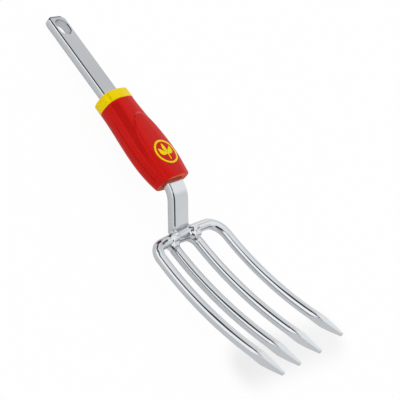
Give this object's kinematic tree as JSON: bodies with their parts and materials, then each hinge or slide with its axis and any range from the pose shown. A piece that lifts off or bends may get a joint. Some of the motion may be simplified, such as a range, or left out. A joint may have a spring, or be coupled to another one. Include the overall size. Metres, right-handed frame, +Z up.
{
  "type": "hand fork head",
  "caption": "Garden hand fork head: curved round-bar tines with forged points on a cranked flat bar, a moulded grip with a collar, and a slotted tang that plugs into a handle.",
  "frame": {"origin": "middle of the footprint, on the bench that the fork lies on with its front up", "axes": "+Y runs from the points to the tang's end, +X across the tines to the right as seen from the front with the points down, +Z up out of the front"},
  "size_m": [0.0874, 0.3084, 0.0563],
  "materials": {
    "bar_chrome": "satin chrome plate on drawn flat bar",
    "rod_chrome": "bright chrome plate on round bar",
    "weld_chrome": "chrome plate over rough weld",
    "grip_red": "smooth moulded plastic with a soft gloss",
    "collar_yellow": "smooth moulded plastic with a soft gloss",
    "badge_yellow": "smooth moulded plastic with a soft gloss"
  },
  "bodies": {
    "root": {"tang_bar": "bar_chrome", "outer_tine_rod": "rod_chrome", "inner_tine_rod": "rod_chrome", "left_weld_bead": "weld_chrome", "right_weld_bead": "weld_chrome", "left_neck_weld": "weld_chrome", "right_neck_weld": "weld_chrome", "grip_body": "grip_red", "collar_ring": "collar_yellow", "badge_ring": "badge_yellow"}
  },
  "joints": []
}
